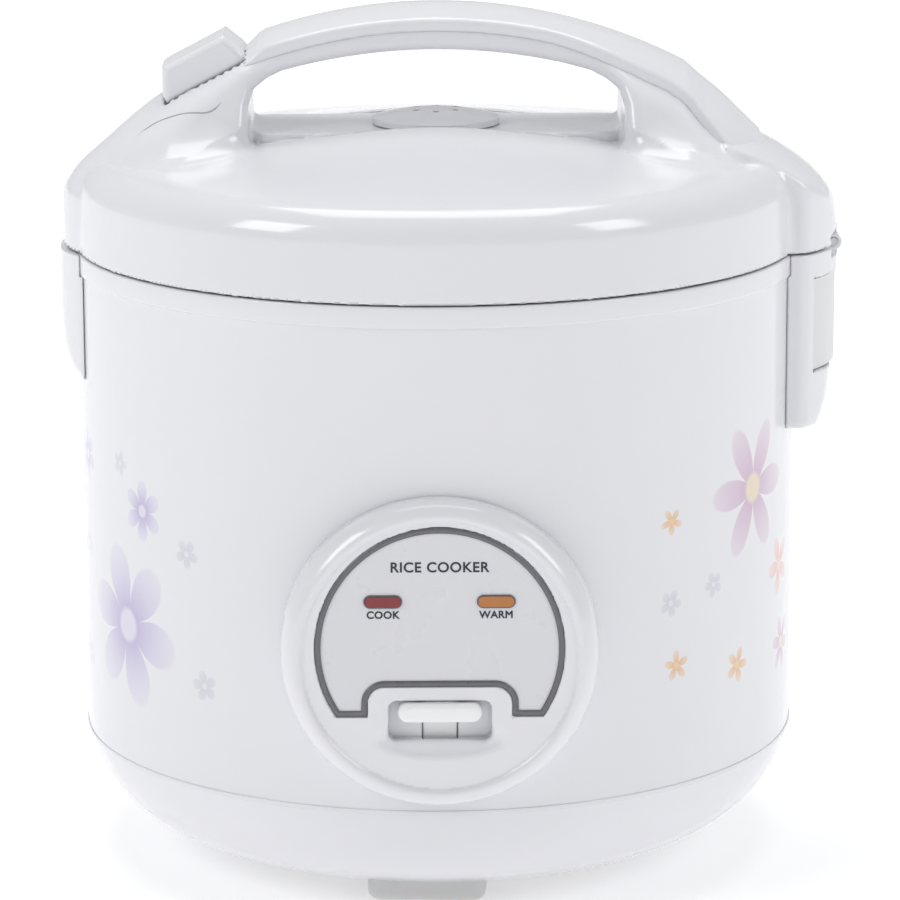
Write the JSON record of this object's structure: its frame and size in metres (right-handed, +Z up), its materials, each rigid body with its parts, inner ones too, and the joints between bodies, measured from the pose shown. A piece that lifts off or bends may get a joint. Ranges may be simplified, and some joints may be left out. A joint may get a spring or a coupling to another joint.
{
  "type": "rice cooker",
  "caption": "Round electric rice cooker with a hinged domed lid, arched carry handle, release button, removable pot, dew collector and a round cook/warm switch panel.",
  "frame": {"origin": "on the surface the cooker stands on, under the middle of its overall width and depth", "axes": "+Z up, the control panel faces -Y, the lid's hinge is towards +X and the release button towards -X"},
  "size_m": [0.277, 0.2757, 0.3012],
  "materials": {
    "white_plastic": "glossy injection-moulded",
    "printed_steel": "glossy white film with pastel flowers",
    "label_plate": "satin label",
    "grey_trim": "satin",
    "red_lens": "translucent",
    "amber_lens": "translucent",
    "plated_steel": "plated",
    "spring_steel": "drawn wire",
    "aluminium": "satin",
    "coated_aluminium": "satin anodised",
    "magnet_iron": "plain",
    "silicone": "satin",
    "black_plastic": "fine grain",
    "brass": "plain",
    "circuit_board": "coated",
    "clear_lamp": "clear"
  },
  "bodies": {
    "cooker_body": {"base_pan": "white_plastic", "bottom_cover": "plated_steel", "bottom_screws": "plated_steel", "cook_lens": "red_lens", "feet": "white_plastic", "heater_posts": "plated_steel", "heater_terminals": "brass", "heating_plate": "aluminium", "hinge_housing": "white_plastic", "hinge_pin": "plated_steel", "indicator_lamps": "clear_lamp", "inlet_pins": "brass", "inner_casing": "plated_steel", "keep_warm_thermostat": "plated_steel", "lamp_board": "circuit_board", "latch_catch": "plated_steel", "latch_housing": "white_plastic", "lever_bracket": "plated_steel", "lever_pin": "plated_steel", "lid_spring": "spring_steel", "micro_switch": "black_plastic", "outer_shell": "printed_steel", "panel_bezel": "white_plastic", "panel_plate": "label_plate", "panel_screws": "plated_steel", "panel_trim": "grey_trim", "power_inlet": "black_plastic", "sensor_bracket": "plated_steel", "sensor_spring": "spring_steel", "thermal_fuse": "plated_steel", "top_rim": "white_plastic", "warm_lens": "amber_lens"},
    "lid": {"lid_cover": "white_plastic", "handle": "white_plastic", "handle_cover": "white_plastic", "lid_hinge_cover": "white_plastic", "lid_liner": "white_plastic", "lid_screws": "plated_steel", "inner_lid_plate": "aluminium", "seal_gasket": "silicone", "inner_lid_knob": "silicone", "vent_seat": "silicone", "latch_pin": "plated_steel", "button_spring": "spring_steel"},
    "release_button": {"release_button": "white_plastic"},
    "latch_hook": {"latch_hook": "black_plastic"},
    "steam_cap": {"vent_cap": "white_plastic"},
    "switch_lever": {"switch_lever": "white_plastic"},
    "magnet": {"magnet_rod": "magnet_iron"},
    "sensor_cap": {"sensor_cap": "aluminium"},
    "dew_collector": {"dew_collector": "white_plastic"},
    "inner_pot": {"inner_pot": "coated_aluminium"}
  },
  "joints": [
    {"name": "lid_hinge", "type": "hinge", "parent": "cooker_body", "child": "lid", "pos_m": [0.13555, 0, 0.2173], "axis": [0, 1, 0], "range_deg": [0, 85]},
    {"name": "button_press", "type": "slide", "parent": "lid", "child": "release_button", "axis": [0.4648, 0, -0.8854], "range_m": [0, 0.004], "stiffness_N_per_m": 600, "springref_m": -0.001, "deforming": ["button_spring"]},
    {"name": "latch_swing", "type": "hinge", "parent": "lid", "child": "latch_hook", "pos_m": [-0.12045, 0, 0.232], "axis": [0, 1, 0], "range_deg": [0, 4]},
    {"name": "steam_cap_lift", "type": "slide", "parent": "lid", "child": "steam_cap", "axis": [0, 0, 1], "range_m": [0, 0.012]},
    {"name": "switch_press", "type": "hinge", "parent": "cooker_body", "child": "switch_lever", "pos_m": [-0.00445, -0.048, 0.0525], "axis": [1, 0, 0], "range_deg": [0, 3.2], "stiffness_Nm_per_rad": 0.5, "springref_deg": -5.73},
    {"name": "magnet_lift", "type": "slide", "parent": "cooker_body", "child": "magnet", "axis": [0, 0, 1], "range_m": [0, 0.003]},
    {"name": "sensor_plunge", "type": "slide", "parent": "cooker_body", "child": "sensor_cap", "axis": [0, 0, 1], "range_m": [-0.002, 0], "stiffness_N_per_m": 800, "springref_m": 0.002, "deforming": ["sensor_spring"]},
    {"name": "dew_pull", "type": "slide", "parent": "cooker_body", "child": "dew_collector", "axis": [1, 0, 0], "range_m": [0, 0.03]},
    {"name": "pot_turn", "type": "hinge", "parent": "cooker_body", "child": "inner_pot", "pos_m": [-0.00445, 0, 0.15], "axis": [0, 0, 1], "continuous": true}
  ],
  "couplings": [
    {"joint": "latch_swing", "follows": "button_press", "rad_per_m": 16.4},
    {"joint": "magnet_lift", "follows": "switch_press", "m_per_rad": 0.048}
  ]
}
